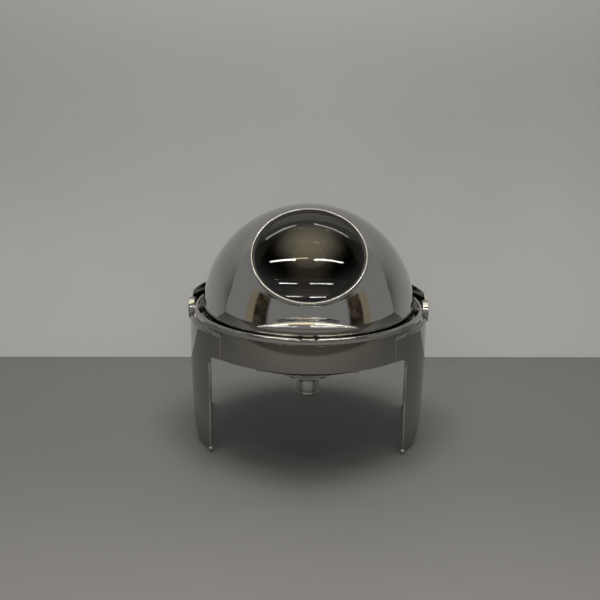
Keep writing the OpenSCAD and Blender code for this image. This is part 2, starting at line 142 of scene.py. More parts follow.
def turned(profile, steps, loop=True):
    """A bmesh of the profile turned about Z, its faces outwards."""
    bm = bmesh.new()
    rings = []
    for r, z in profile:
        if r < 1e-7:
            rings.append([bm.verts.new((0, 0, z))] * steps)
        else:
            spots = [TURN * k / steps for k in range(steps)]
            rings.append([bm.verts.new((r * math.cos(a), r * math.sin(a), z)) for a in spots])
    for low, high in zip(rings, rings[1:] + (rings[:1] if loop else [])):
        for k in range(steps):
            j = (k + 1) % steps
            corners = list(dict.fromkeys((low[k], low[j], high[j], high[k])))
            if len(corners) > 2:
                bm.faces.new(corners)
    bmesh.ops.recalc_face_normals(bm, faces=bm.faces)
    return bm


def lathe(name, profile, place, steps=96, loop=True, sharp=40):
    """The profile, in millimetres, turned about the place's Z axis."""
    bm = turned([(r * MM, z * MM) for r, z in profile], steps, loop)
    bmesh.ops.transform(bm, matrix=place, verts=bm.verts)
    return from_bmesh(name, bm, sharp)


# %% Places: the lid's axis frame, and axes turned within it
AT_AXIS = Matrix.Translation(LID_AXIS)


def along_x(side=1):
    """Z of a turned piece runs along X, away from the middle."""
    return AT_AXIS @ Matrix.Rotation(math.radians(90 * side), 4, "Y")


def tilted(elevation):
    """Z of a turned piece points to the front and up, at this elevation."""
    return AT_AXIS @ Matrix.Rotation(math.radians(90 - elevation), 4, "X")


SIDES = {"left": -1, "right": 1}

# %% [markdown]
# ## Finishes
# Polished steel is almost all reflection. What makes it look like metal sheet and not like a
# drawing is what disturbs the reflection: a faint waviness, wipe marks and fingerprints. They
# are node groups, so that every steel shares them with its own amounts.

# %% Node tools
def node(tree, kind, inputs=None, **settings):
    made = tree.nodes.new(kind)
    for key, value in settings.items():
        setattr(made, key, value)
    for key, value in (inputs or {}).items():
        if isinstance(value, bpy.types.NodeSocket):
            tree.links.new(value, made.inputs[key])
        else:
            made.inputs[key].default_value = value
    return made


def shader_group(name, numbers, outputs):
    """An empty group with number inputs, and value outputs, and its two end nodes."""
    tree = bpy.data.node_groups.new(name, "ShaderNodeTree")
    for label, value in numbers.items():
        socket = tree.interface.new_socket(label, in_out="INPUT", socket_type="NodeSocketFloat")
        socket.default_value = value
    for label in outputs:
        tree.interface.new_socket(label, in_out="OUTPUT", socket_type="NodeSocketFloat")
    return tree, tree.nodes.new("NodeGroupInput"), tree.nodes.new("NodeGroupOutput")


def ramp(tree, value, low, high):
    """A soft step of value from low to high."""
    return node(tree, "ShaderNodeMapRange", {"Value": value, "From Min": low, "From Max": high},
                interpolation_type="SMOOTHSTEP").outputs["Result"]


def noise(tree, where, scale, detail=4.0, rough=0.5):
    settings = {"Vector": where, "Scale": scale, "Detail": detail, "Roughness": rough}
    return node(tree, "ShaderNodeTexNoise", settings).outputs["Fac"]


def sums(tree, kind, a, b):
    return node(tree, "ShaderNodeMath", {0: a, 1: b}, operation=kind).outputs[0]


# %% Shared effects
def hand_marks():
    """Finger marks and wipe streaks, as a mask from 0 to 1."""
    tree, start, end = shader_group("Hand marks", {"Amount": 1.0, "Size": 1.0}, ["Mask"])
    where = node(tree, "ShaderNodeTexCoord").outputs["Object"]
    scaled = node(tree, "ShaderNodeVectorMath", {0: where}, operation="SCALE")
    tree.links.new(start.outputs["Size"], scaled.inputs["Scale"])
    spot = scaled.outputs[0]
    blotches = ramp(tree, noise(tree, spot, 9.0, 3.0, 0.55), 0.52, 0.72)
    wiped = node(tree, "ShaderNodeMapping", {"Vector": spot, "Rotation": (0.5, 0.3, 0.9),
                                            "Scale": (14.0, 90.0, 60.0)}).outputs[0]
    streaks = ramp(tree, noise(tree, wiped, 1.0, 5.0, 0.6), 0.5, 0.8)
    both = sums(tree, "ADD", sums(tree, "MULTIPLY", blotches, 0.6),
                sums(tree, "MULTIPLY", streaks, 0.4))
    tree.links.new(sums(tree, "MULTIPLY", both, start.outputs["Amount"]), end.inputs["Mask"])
    return tree


def sheet_wave():
    """Height of thin sheet that was pressed or spun: long soft waves and fine polishing lines."""
    tree, start, end = shader_group("Sheet wave", {"Wave": 1.0, "Lines": 0.1}, ["Height"])
    where = node(tree, "ShaderNodeTexCoord").outputs["Object"]
    waves = noise(tree, where, 11.0, 1.0, 0.4)
    flat = node(tree, "ShaderNodeMapping", {"Vector": where, "Scale": (60, 60, 2600)}).outputs[0]
    lines = noise(tree, flat, 1.0, 3.0, 0.7)
    height = sums(tree, "ADD", sums(tree, "MULTIPLY", waves, start.outputs["Wave"]),
                  sums(tree, "MULTIPLY", lines, start.outputs["Lines"]))
    tree.links.new(height, end.inputs["Height"])
    return tree


def speckle():
    """Fine mottling for rubber, nylon and cotton: a mask and a height."""
    tree, start, end = shader_group("Speckle", {"Scale": 900.0}, ["Mask", "Height"])
    where = node(tree, "ShaderNodeTexCoord").outputs["Object"]
    grain = node(tree, "ShaderNodeTexNoise", {"Vector": where, "Detail": 5.0})
    tree.links.new(start.outputs["Scale"], grain.inputs["Scale"])
    tree.links.new(grain.outputs["Fac"], end.inputs["Height"])
    tree.links.new(ramp(tree, noise(tree, where, 60.0, 3.0), 0.35, 0.7), end.inputs["Mask"])
    return tree


MARKS = hand_marks()
WAVE = sheet_wave()
SPECKLE = speckle()
print("shared effects:", MARKS.name, WAVE.name, SPECKLE.name)


# %% Material tools
def blank(name):
    made = bpy.data.materials.new(name)
    made.use_nodes = True
    return made, made.node_tree, made.node_tree.nodes["Principled BSDF"]


def blend_colours(tree, mask, one, other):
    mixer = node(tree, "ShaderNodeMix", data_type="RGBA")
    tree.links.new(mask, mixer.inputs["Factor"])
    mixer.inputs["A"].default_value = (*one, 1)
    mixer.inputs["B"].default_value = (*other, 1)
    return mixer.outputs["Result"]


def steel(name, colour, worn, rough, rough_worn, marks, wave, lines, depth):
    """Stainless steel: marks change its colour and roughness, waves and lines its reflection."""
    made, tree, shader = blank(name)
    mask = node(tree, "ShaderNodeGroup", node_tree=MARKS)
    mask.inputs["Amount"].default_value = marks
    shader.inputs["Metallic"].default_value = 1.0
    tree.links.new(blend_colours(tree, mask.outputs[0], colour, worn), shader.inputs["Base Color"])
    tree.links.new(node(tree, "ShaderNodeMapRange", {"Value": mask.outputs[0], "To Min": rough,
                                                    "To Max": rough_worn}).outputs["Result"],
                   shader.inputs["Roughness"])
    height = node(tree, "ShaderNodeGroup", node_tree=WAVE)
    height.inputs["Wave"].default_value = wave
    height.inputs["Lines"].default_value = lines
    bump = node(tree, "ShaderNodeBump", {"Height": height.outputs[0], "Strength": 1.0,
                                         "Distance": depth})
    tree.links.new(bump.outputs[0], shader.inputs["Normal"])
    return made


def dull(name, one, other, rough, scale, depth):
    """Rubber, nylon or cotton: two close colours, mottled, with a fine bump."""
    made, tree, shader = blank(name)
    grain = node(tree, "ShaderNodeGroup", node_tree=SPECKLE)
    grain.inputs["Scale"].default_value = scale
    tree.links.new(blend_colours(tree, grain.outputs["Mask"], one, other),
                   shader.inputs["Base Color"])
    shader.inputs["Roughness"].default_value = rough
    bump = node(tree, "ShaderNodeBump", {"Height": grain.outputs["Height"], "Strength": 0.6,
                                         "Distance": depth})
    tree.links.new(bump.outputs[0], shader.inputs["Normal"])
    return made


# %% The finishes
MIRROR = steel("polished_steel", (0.51, 0.505, 0.49), (0.46, 0.45, 0.43), 0.03, 0.12,
               0.5, 1.0, 0.0, 0.00010)
BRIGHT = steel("bright_ring_steel", (0.86, 0.87, 0.88), (0.80, 0.81, 0.82), 0.20, 0.30,
               0.4, 0.2, 0.0, 0.00005)
# The cup's steel is lighter than the other steels: painted light, so that the cup shows bright in
# the shade under the pans.
LIT_CUP_STEEL = steel("spun_cup_steel_lit", (0.74, 0.73, 0.71), (0.64, 0.63, 0.60), 0.30, 0.42,
                  0.6, 0.5, 0.03, 0.00010)
# The frame's steel is darker and warmer than the lid's: painted shade, for the dim reflections that
# the band and legs show low down.
SHADED_FRAME_STEEL = steel("polished_frame_steel_shaded", (0.36, 0.35, 0.325), (0.32, 0.31, 0.28), 0.07, 0.17,
                    0.7, 1.0, 0.004, 0.00012)
SATIN = steel("satin_steel", (0.52, 0.515, 0.50), (0.46, 0.45, 0.43), 0.20, 0.34,
              0.8, 0.6, 0.05, 0.00012)
PLAIN = steel("plain_steel", (0.45, 0.445, 0.435), (0.36, 0.35, 0.33), 0.28, 0.42,
              0.9, 0.4, 0.08, 0.00012)
SILICONE = dull("black_silicone", (0.012, 0.012, 0.012), (0.022, 0.021, 0.02), 0.5, 1400, 0.00003)
PAD = dull("grey_silicone", (0.30, 0.29, 0.28), (0.36, 0.35, 0.34), 0.55, 1200, 0.00004)
NYLON = dull("black_nylon", (0.022, 0.022, 0.022), (0.035, 0.034, 0.033), 0.35, 900, 0.00003)
COTTON = dull("cotton_wick", (0.55, 0.51, 0.43), (0.70, 0.66, 0.57), 0.9, 700, 0.0004)


def smoked_glass():
    """Tinted glass: dark, glossy, with wipe marks that only roughen it."""
    made, tree, shader = blank("smoked_glass")
    shader.inputs["Transmission Weight"].default_value = 1.0
    shader.inputs["IOR"].default_value = 1.5
    mask = node(tree, "ShaderNodeGroup", node_tree=MARKS)
    mask.inputs["Amount"].default_value = 0.5
    tree.links.new(blend_colours(tree, mask.outputs[0], (0.50, 0.475, 0.41), (0.47, 0.445, 0.38)),
                   shader.inputs["Base Color"])
    tree.links.new(node(tree, "ShaderNodeMapRange", {"Value": mask.outputs[0], "To Min": 0.0,
                                                    "To Max": 0.06}).outputs["Result"],
                   shader.inputs["Roughness"])
    return made


GLASS = smoked_glass()


def settle(piece, body, material, *nodes):
    """The piece gets its finish and its body, and stands for these CAD nodes."""
    piece.data.materials.clear()
    piece.data.materials.append(material)
    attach(piece, body)
    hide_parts(*nodes)
    print(piece.name, "on", body, len(piece.data.polygons), "faces")
    return piece


# %% [markdown]
# ## The lid
# The lid is one spun sheet: a hemisphere whose top front is drawn out into a short neck for the
# window. Turned about the window's axis, neck, flare and sphere are one profile. A cut through
# the lid's axis then leaves the half that the real one has.

# %% Lid sizes, in millimetres
SHEET = 1.2
WINDOW_TILT = 49.4
NECK_R = 107.4
NECK_TOP = 186.5
FLARE = 12.0
LID_R = DOME_R / MM
FLARE_X = NECK_R + FLARE
FLARE_Z = math.sqrt((LID_R + FLARE) ** 2 - FLARE_X ** 2)
FLARE_TURN = math.degrees(math.atan2(FLARE_Z, FLARE_X))


# %% Lid shell
def lid_wall(inset):
    """One face of the sheet, from the neck's top edge round to the far pole."""
    rise = math.degrees(math.asin((FLARE_Z - NECK_TOP) / (FLARE + inset)))
    flare = arc(FLARE_X, FLARE_Z, FLARE + inset, 180 + rise, 180 + FLARE_TURN, 14)
    ball = arc(0, 0, LID_R - inset, FLARE_TURN, -90, 150)[1:]
    return flare + ball


outer = lid_wall(0)
inner = lid_wall(SHEET)
bm = turned([(r * MM, z * MM) for r, z in outer[::-1] + inner], 224, loop=False)
bmesh.ops.remove_doubles(bm, verts=bm.verts, dist=1e-8)
bmesh.ops.transform(bm, matrix=tilted(WINDOW_TILT), verts=bm.verts)
cut = bmesh.ops.bisect_plane(bm, geom=bm.verts[:] + bm.edges[:] + bm.faces[:], dist=1e-7,
                             plane_co=LID_AXIS, plane_no=(0, 0, -1), clear_outer=True)
rims = [e for e in cut["geom_cut"] if isinstance(e, bmesh.types.BMEdge)]
bmesh.ops.bridge_loops(bm, edges=rims)
lid = from_bmesh("dome_shell_sheet", bm, 50)
settle(lid, "roll_top", MIRROR, "dome_shell")


# %% [markdown]
# Shading normals on polished sheet matter more than its facets: a mirror shows every one that
# leans. The ball's are known exactly, because they point away from its centre, so they are
# written in, and the neck keeps the ones that its own faces give.

# %% True normals for the ball of the lid
def write_normals(piece, rule):
    """rule(place, face normal) gives a corner's true normal, or None to keep the shaded one."""
    mesh = piece.data
    shaded = [Vector(n.vector) for n in mesh.corner_normals]
    out = []
    for face in mesh.polygons:
        for k in face.loop_indices:
            true = rule(mesh.vertices[mesh.loops[k].vertex_index].co, face.normal)
            out.append(true if true is not None else shaded[k])
    mesh.normals_split_custom_set(out)


def ball_rule(place, facing):
    """On the lid's two ball faces, straight out from or in to the lid's centre."""
    away = place - LID_AXIS
    out = away.normalized()
    for radius, sign in ((LID_R, 1), (LID_R - SHEET, -1)):
        if abs(away.length / MM - radius) < 0.02 and facing.dot(out) * sign > 0.95:
            return out * sign
    return None


write_normals(lid, ball_rule)

# %% [markdown]
# ## Beads
# A rolled edge is a section carried round a hoop, which is a job for Geometry Nodes: a rounded
# section swept along a circle. The same tree makes the stand's tall oval bead and the window's
# thin bright ring, with their own sizes.

# %% Geometry Nodes tools
def geometry_group(name, inputs):
    tree = bpy.data.node_groups.new(name, "GeometryNodeTree")
    tree.interface.new_socket("Geometry", in_out="INPUT", socket_type="NodeSocketGeometry")
    for label, (kind, value) in inputs.items():
        socket = tree.interface.new_socket(label, in_out="INPUT", socket_type=kind)
        if value is not None:
            socket.default_value = value
    tree.interface.new_socket("Geometry", in_out="OUTPUT", socket_type="NodeSocketGeometry")
    return tree, tree.nodes.new("NodeGroupInput"), tree.nodes.new("NodeGroupOutput")


def grown(name, tree, mesh, values, place):
    """The tree's result on this mesh, as a plain mesh in its place."""
    seed = link(name + "_seed", mesh)
    modifier = seed.modifiers.new("grow", "NODES")
    modifier.node_group = tree
    for item in tree.interface.items_tree:
        if item.in_out == "INPUT" and item.name in values:
            modifier[item.identifier] = values[item.name]
    seen = seed.evaluated_get(bpy.context.evaluated_depsgraph_get())
    made = bpy.data.meshes.new_from_object(seen)
    bpy.data.objects.remove(seed)
    made.transform(place)
    bm = bmesh.new()
    bm.from_mesh(made)
    bmesh.ops.remove_doubles(bm, verts=bm.verts, dist=1e-7)
    bmesh.ops.recalc_face_normals(bm, faces=bm.faces)
    return from_bmesh(name, bm, 50)


# %% The bead tree
def bead_tree():
    number = "NodeSocketFloat"
    tree, start, end = geometry_group("Bead round a hoop", {
        "Hoop radius": (number, 0.1), "Width": (number, 0.01), "Height": (number, 0.01),
        "Corner": (number, 0.004), "Finish": ("NodeSocketMaterial", None)})
    hoop = node(tree, "GeometryNodeCurvePrimitiveCircle", {"Resolution": 288})
    tree.links.new(start.outputs["Hoop radius"], hoop.inputs["Radius"])
    section = node(tree, "GeometryNodeCurvePrimitiveQuadrilateral")
    tree.links.new(start.outputs["Width"], section.inputs["Width"])
    tree.links.new(start.outputs["Height"], section.inputs["Height"])
    rounded = node(tree, "GeometryNodeFilletCurve", {"Curve": section.outputs["Curve"], "Count": 9},
                   mode="POLY")
    tree.links.new(start.outputs["Corner"], rounded.inputs["Radius"])
    swept = node(tree, "GeometryNodeCurveToMesh", {"Curve": hoop.outputs["Curve"],
                                                   "Profile Curve": rounded.outputs["Curve"]})
    real = node(tree, "GeometryNodeRealizeInstances", {"Geometry": swept.outputs["Mesh"]})
    dressed = node(tree, "GeometryNodeSetMaterial", {"Geometry": real.outputs["Geometry"]})
    tree.links.new(start.outputs["Finish"], dressed.inputs["Material"])
    tree.links.new(dressed.outputs["Geometry"], end.inputs["Geometry"])
    return tree


BEAD = bead_tree()


def bead(name, hoop, width, height, corner, finish, place):
    sizes = {"Hoop radius": hoop * MM, "Width": width * MM, "Height": height * MM,
             "Corner": corner * MM, "Finish": finish}
    return grown(name, BEAD, bpy.data.meshes.new(name), sizes, place)


# %% Window ring, and the stand's rolled bead
BEAD_IN = 220.0
BEAD_W = 8.5
BEAD_H = 13.0
BEAD_OUT = BEAD_IN + BEAD_W
RING = 2.7
rise = math.asin((FLARE_Z - NECK_TOP) / (FLARE + SHEET / 2))
ring_hoop = FLARE_X - (FLARE + SHEET / 2) * math.cos(rise)
ring_place = tilted(WINDOW_TILT) @ Matrix.Translation((0, 0, (NECK_TOP + RING / 2 + 0.05) * MM))
window_ring = bead("window_bezel_ring", ring_hoop, RING, RING, RING / 2 - 0.01, BRIGHT, ring_place)
settle(window_ring, "roll_top", BRIGHT, "window_bezel")
bead_place = AT_AXIS @ Matrix.Translation((0, 0, BEAD_H / 2 * MM))
rim = bead("rim_bead_roll", BEAD_IN + BEAD_W / 2, BEAD_W, BEAD_H, BEAD_W / 2 - 0.05, MIRROR,
           bead_place)
settle(rim, "stand", MIRROR, "rim_bead")

# %% [markdown]
# ## Window
# The glass is a slumped cap with the lid's own curve, ground smooth at its edge, and it sits in
# a black silicone channel. Both are turned about the window's axis.

# %% Glass and gasket
GLASS_R = 212.6
GLASS_T = 3.6
GLASS_EDGE = 103.5
edge_out = math.degrees(math.acos(GLASS_EDGE / GLASS_R))
edge_in = math.degrees(math.acos(GLASS_EDGE / (GLASS_R - GLASS_T)))
glass_low = (GLASS_R - GLASS_T) * math.sin(math.radians(edge_in))
glass_high = GLASS_R * math.sin(math.radians(edge_out))
cap = arc(0, 0, GLASS_R, 90, edge_out, 60) + arc(0, 0, GLASS_R - GLASS_T, edge_in, 90, 60)
cap[0] = (0.0, GLASS_R)
cap[-1] = (0.0, GLASS_R - GLASS_T)
glass = lathe("window_glass_cap", cap, tilted(WINDOW_TILT), 192, loop=False, sharp=50)
settle(glass, "roll_top", GLASS, "window_glass")
channel_in = GLASS_EDGE - 3
channel_out = NECK_R - SHEET - 0.06
channel = [(channel_out, glass_low - 0.9), (channel_out, NECK_TOP - 0.3),
           (channel_in, NECK_TOP - 0.3), (channel_in, glass_high + 0.1),
           (GLASS_EDGE + 0.02, glass_high + 0.05), (GLASS_EDGE + 0.02, glass_low),
           (channel_in, glass_low + 1.4), (channel_in, glass_low - 0.9)]
gasket = lathe("window_gasket_channel", filleted(channel, 0.5, 3), tilted(WINDOW_TILT), 192)
settle(gasket, "roll_top", SILICONE, "window_gasket")

# %% [markdown]
# ## Grip
# The grip is a polished spindle, fullest in the middle, on two posts that rise from a pad which
# follows the lid.

# %% Grip
GRIP_REACH = 252.0
GRIP_TILT = 9.6
GRIP_LEN = 185.0
GRIP_D = 25.0
swell = (GRIP_LEN ** 2 + GRIP_D ** 2) / (4 * GRIP_D)
tip = GRIP_LEN / 2 - 2
lean = math.degrees(math.asin(tip / swell))
belly = arc(GRIP_D / 2 - swell, 0, swell, -lean, lean, 72)
end_r = belly[0][0] * 0.7
blunt = [(0.0, -tip), (end_r, -tip)] + belly[1:-1] + [(end_r, tip), (0.0, tip)]
grip_place = tilted(GRIP_TILT) @ Matrix.Translation((0, 0, GRIP_REACH * MM))
grip = lathe("handle_grip_spindle", blunt, grip_place @ Matrix.Rotation(math.radians(90), 4, "Y"),
             80, loop=False, sharp=60)
settle(grip, "roll_top", MIRROR, "handle_grip")


# %% [markdown]
# ## CAD pieces that keep their shape
# Bent straps, plates and brackets are right as they are drawn. A copy is merged, smoothed where
# its faces run on, and given a fine bevel, because an edge with no width never catches light.

# %% Dressed copies
def dressed(nodename, body, material, bevel=0.0, sharp=30):
    mesh = frame["nodes"][nodename].data.copy()
    bm = bmesh.new()
    bm.from_mesh(mesh)
    bmesh.ops.remove_doubles(bm, verts=bm.verts, dist=2e-6)
    bmesh.ops.dissolve_limit(bm, angle_limit=math.radians(0.5), verts=bm.verts, edges=bm.edges)
    piece = from_bmesh(nodename + "_dressed", bm, sharp)
    if bevel:
        edge = piece.modifiers.new("bevel", "BEVEL")
        edge.width = bevel * MM
        edge.segments = 2
        edge.limit_method = "ANGLE"
        edge.angle_limit = math.radians(sharp)
        edge.harden_normals = True
    return settle(piece, body, material, nodename)


dressed("handle_mount", "roll_top", MIRROR)
dressed("handle_screws", "roll_top", PLAIN, 0.2)
dressed("dome_hem", "roll_top", SATIN, 0.2)
dressed("lug_rivets", "roll_top", PLAIN, 0.3)
for side in SIDES:
    dressed("hinge_lug_" + side, "roll_top", SATIN, 0.2)
    dressed("pivot_bush_" + side, "roll_top", NYLON, 0.3)
dressed("support_ring", "stand", SATIN)
dressed("rear_guard", "stand", SHADED_FRAME_STEEL, 0.3)
dressed("front_bridge", "stand", SATIN, 0.2)
dressed("lid_rest_pads", "stand", PAD, 0.5)
dressed("friction_washers", "stand", PLAIN, 0.2)
dressed("seam_clips", "stand", MIRROR, 0.3)
dressed("band_rivets", "stand", PLAIN, 0.3)
dressed("burner_hanger", "stand", SATIN, 0.3)
dressed("burner_plate", "stand", SATIN, 0.2)
dressed("hanger_screws", "stand", PLAIN, 0.2)
dressed("cup_clips", "stand", SATIN, 0.2)
dressed("snuffer_pin", "stand", PLAIN, 0.2)
dressed("snuffer_lid", "snuffer", SATIN, 0.25)
dressed("cup_neck", "burner", PLAIN, 0.2)
dressed("wick", "burner", COTTON, 0.4)
for side in SIDES:
    dressed("spindle_" + side, "stand", PLAIN, 0.2)

# %% [markdown]
# ## Stand
# A hoop of polished sheet under the bead, and two side frames, each one bent sheet with a front
# and a rear leg. A half-round bead stiffens each leg's straight edge and ends in a ball foot.

# %% Skirt band
BAND_R = BEAD_OUT - 2.5
BAND_H = 54.5
WALL = 1.5
band = [(BAND_R - WALL, 0), (BAND_R, 0), (BAND_R, -BAND_H), (BAND_R - WALL, -BAND_H)]
skirt = lathe("skirt_band_hoop", filleted(band, 0.6, 3), AT_AXIS, 256)
settle(skirt, "stand", SHADED_FRAME_STEEL, "skirt_band")

# %% Side frames, with the true normals of their bent sheet
BULGE_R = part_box("side_frame_right")[1][0] / MM
SEAM = math.radians(46.5)
seam_x = (BAND_R + WALL) * math.sin(SEAM)
seam_y = (BAND_R + WALL) * math.cos(SEAM)
bend_x = (BULGE_R ** 2 - seam_x ** 2 - seam_y ** 2) / (2 * (BULGE_R - seam_x))
bend_r = BULGE_R - bend_x
SHOULDER = 10.0


def frame_rule(side):
    """True normals of one side frame: a bent sheet with a rounded shoulder and a flat ledge."""
    centre = LID_AXIS + Vector((side * bend_x * MM, 0, 0))

    def rule(place, facing):
        across = Vector((place.x - centre.x, place.y - centre.y, 0))
        reach = across.length / MM
        out = across.normalized()
        height = (place.z - centre.z) / MM + 2.0
        rise = max(0.0, height + SHOULDER)
        run = reach - (bend_r - SHOULDER)
        if facing.dot(out) > 0.97 and abs(reach - bend_r) < 0.05:
            return out
        if facing.dot(out) < -0.97 and abs(reach - bend_r + WALL) < 0.05:
            return -out
        if run > 0.01 and rise > 0.01 and abs(facing.z) > 0.03:
            away = (out * run + Vector((0, 0, rise))).normalized()
            if abs(math.hypot(run, rise) - SHOULDER) < 0.15 and facing.dot(away) > 0.9:
                return away
            if abs(math.hypot(run, rise) - SHOULDER + WALL) < 0.15 and facing.dot(away) < -0.9:
                return -away
        return None

    return rule


for side, sign in SIDES.items():
    piece = dressed("side_frame_" + side, "stand", SHADED_FRAME_STEEL, sharp=30)
    write_normals(piece, frame_rule(sign))


# %% Leg edge rods and ball feet
FOOT_R = 5.0
ROD_R = 2.0
ROD_SINK = 0.6
FRONT_EDGE = 133.0
foot_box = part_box("ball_feet")
rod_low, rod_high = (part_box("leg_edge_rods")[k][2] for k in (0, 1))
foot_z = rod_low - (FOOT_R - ROD_SINK) * MM
front_x = (bend_x + math.sqrt((bend_r - WALL / 2) ** 2 - FRONT_EDGE ** 2)) * MM
rear_x = foot_box[1][0] - FOOT_R * MM
edges = [(front_x, foot_box[0][1] + FOOT_R * MM), (rear_x, foot_box[1][1] - FOOT_R * MM)]
corners = [(sx * x, y) for sx in (-1, 1) for x, y in edges]


def copies_at(name, profile, spots, steps):
    """One mesh of the turned profile at each spot."""
    whole = bmesh.new()
    for x, y, z in spots:
        part = turned([(r * MM, h * MM) for r, h in profile], steps, loop=False)
        bmesh.ops.transform(part, matrix=Matrix.Translation((x, y, z)), verts=part.verts)
        scrap = bpy.data.meshes.new("scrap")
        part.to_mesh(scrap)
        part.free()
        whole.from_mesh(scrap)
        bpy.data.meshes.remove(scrap)
    return from_bmesh(name, whole, 45)


flat = foot_z / MM
low_turn = -math.degrees(math.asin(min(1.0, flat / FOOT_R)))
ball = [(0.0, -flat)] + arc(0, 0, FOOT_R, low_turn, 90, 22)
ball[-1] = (0.0, FOOT_R)
feet = copies_at("ball_feet_turned", ball, [(x, y, foot_z) for x, y in corners], 40)
settle(feet, "stand", MIRROR, "ball_feet")
rod_len = (rod_high - rod_low) / MM
rod = [(0.0, 0.0), (ROD_R, 0.0), (ROD_R, rod_len - 1.2), (ROD_R - 0.5, rod_len - 0.3),
       (0.0, rod_len)]
rods = copies_at("leg_edge_rods_turned", rod, [(x, y, rod_low) for x, y in corners], 24)
settle(rods, "stand", MIRROR, "leg_edge_rods")

# %% Pivot caps and housings
CAP_R = 21.0
CROWN_R = 60.0
for side, sign in SIDES.items():
    low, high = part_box("pivot_cap_" + side)
    tip_x = max(abs(low[0]), abs(high[0])) / MM
    root_x = min(abs(low[0]), abs(high[0])) / MM
    crown_turn = math.degrees(math.asin((CAP_R - 0.8) / CROWN_R))
    crown = arc(tip_x - CROWN_R, 0, CROWN_R, 0, crown_turn, 16)
    profile = [(0.0, root_x), (CAP_R - 0.7, root_x), (CAP_R, root_x + 0.7)]
    profile += [(y, x) for x, y in reversed(crown)]
    profile[-1] = (0.0, tip_x)
    cap_piece = lathe("pivot_cap_" + side + "_turned", profile, along_x(sign), 96, loop=False)
    settle(cap_piece, "stand", MIRROR, "pivot_cap_" + side)
    dressed("pivot_housing_" + side, "stand", MIRROR)

# %% [markdown]
# ## Pans
# Both pans are deep drawn: a flat bottom, a rounded corner, a straight wall and a flange that
# ends in a rolled bead. One profile with different sizes makes both.


# %% Pans
def pan_profile(wall, corner, low, flange, rim, thick, roll):
    """Outer face from the middle of the bottom to the rim, round the bead, and back inside."""
    outside = [(0.0, low)] + arc(wall - corner, low + corner, corner, -90, 0, 14)
    neck_out = arc(wall + 3, flange - 3, 3, 180, 90, 6)
    roll_z = flange + roll + 0.1
    rolled = arc(rim, roll_z, roll, -90, 210, 24)
    neck_in = arc(wall + 3, flange - 3, 3 + thick, 90, 180, 6)
    inside = arc(wall - corner, low + corner, corner - thick, 0, -90, 14) + [(0.0, low + thick)]
    return outside + neck_out + [(rim - 1, flange)] + rolled + neck_in + inside


LEDGE = -19.0
water = pan_profile(183, 14, -78, LEDGE + 0.1, 197.5, 1, 2)
water_pan = lathe("water_pan_drawn", water, AT_AXIS, 192, loop=False, sharp=50)
settle(water_pan, "stand", SATIN, "water_pan")
food = pan_profile(176, 22, -69, LEDGE + 1.4, 192.5, 1, 2)
food_pan = lathe("food_pan_drawn", food, AT_AXIS, 192, loop=False, sharp=50)
settle(food_pan, "food_pan", MIRROR, "food_pan")

# %% [markdown]
# ## Burner cup
# A small open can. Its wall has a rolled top and a bead near the foot, as spun cups have.

# %% Fuel cup
CUP_R = 24.0
CUP_LOW = -178.0
CUP_H = 33.0
top = CUP_LOW + CUP_H
cup = [(0.0, CUP_LOW + 1.2), (CUP_R - 6, CUP_LOW + 1.2), (CUP_R - 5, CUP_LOW),
       (CUP_R - 1.5, CUP_LOW), (CUP_R, CUP_LOW + 1.5), (CUP_R, CUP_LOW + 5),
       (CUP_R - 0.6, CUP_LOW + 6),
       (CUP_R - 0.6, CUP_LOW + 7), (CUP_R, CUP_LOW + 8), (CUP_R, top - 4), (CUP_R - 0.7, top - 3),
       (CUP_R, top - 2), (CUP_R - 0.6, top), (CUP_R - 3, top), (15.6, top), (15.6, top - 1),
       (CUP_R - 3, top - 1), (CUP_R - 1.6, top - 2.5), (CUP_R - 1.6, CUP_LOW + 4),
       (CUP_R - 5, CUP_LOW + 2.2), (0.0, CUP_LOW + 2.2)]
cup_piece = lathe("fuel_cup_spun", filleted(cup, 0.8, 3, loop=False), AT_AXIS, 96, loop=False)
settle(cup_piece, "burner", LIT_CUP_STEEL, "fuel_cup")

# %% [markdown]
# ## Room
# Polished metal shows the room more than itself. So the room gets a floor, a low pale wall
# behind, and rows of ceiling strips, which are what draws the paired highlights on the glass,
# the grip and the bead. Floor and wall are clear from behind, so that neither hides the chafer
# from a camera at the back or below.


# %% Stage surfaces
def paint(name, axis, low, high, one, other, rough):
    """A plain paint whose fade along an axis paints light and shade, faintly mottled, and clear
    from behind.
    """
    made, tree, shader = blank(name)
    where = node(tree, "ShaderNodeTexCoord").outputs["Object"]
    along = node(tree, "ShaderNodeSeparateXYZ", {0: where}).outputs[axis]
    blur = sums(tree, "MULTIPLY", noise(tree, where, 2.5, 3.0), 0.15)
    mask = ramp(tree, sums(tree, "ADD", along, blur), low, high)
    tree.links.new(blend_colours(tree, mask, one, other), shader.inputs["Base Color"])
    shader.inputs["Roughness"].default_value = rough
    behind = node(tree, "ShaderNodeNewGeometry").outputs["Backfacing"]
    clear = node(tree, "ShaderNodeBsdfTransparent").outputs[0]
    sides = node(tree, "ShaderNodeMixShader", {0: behind, 1: shader.outputs[0], 2: clear})
    tree.links.new(sides.outputs[0], tree.nodes["Material Output"].inputs["Surface"])
    return made


def panel(name, spots, material):
    mesh = bpy.data.meshes.new(name)
    mesh.from_pydata(spots, [], [(0, 1, 2, 3)])
    mesh.materials.append(material)
    link(name, mesh)
    print(name, "staged")


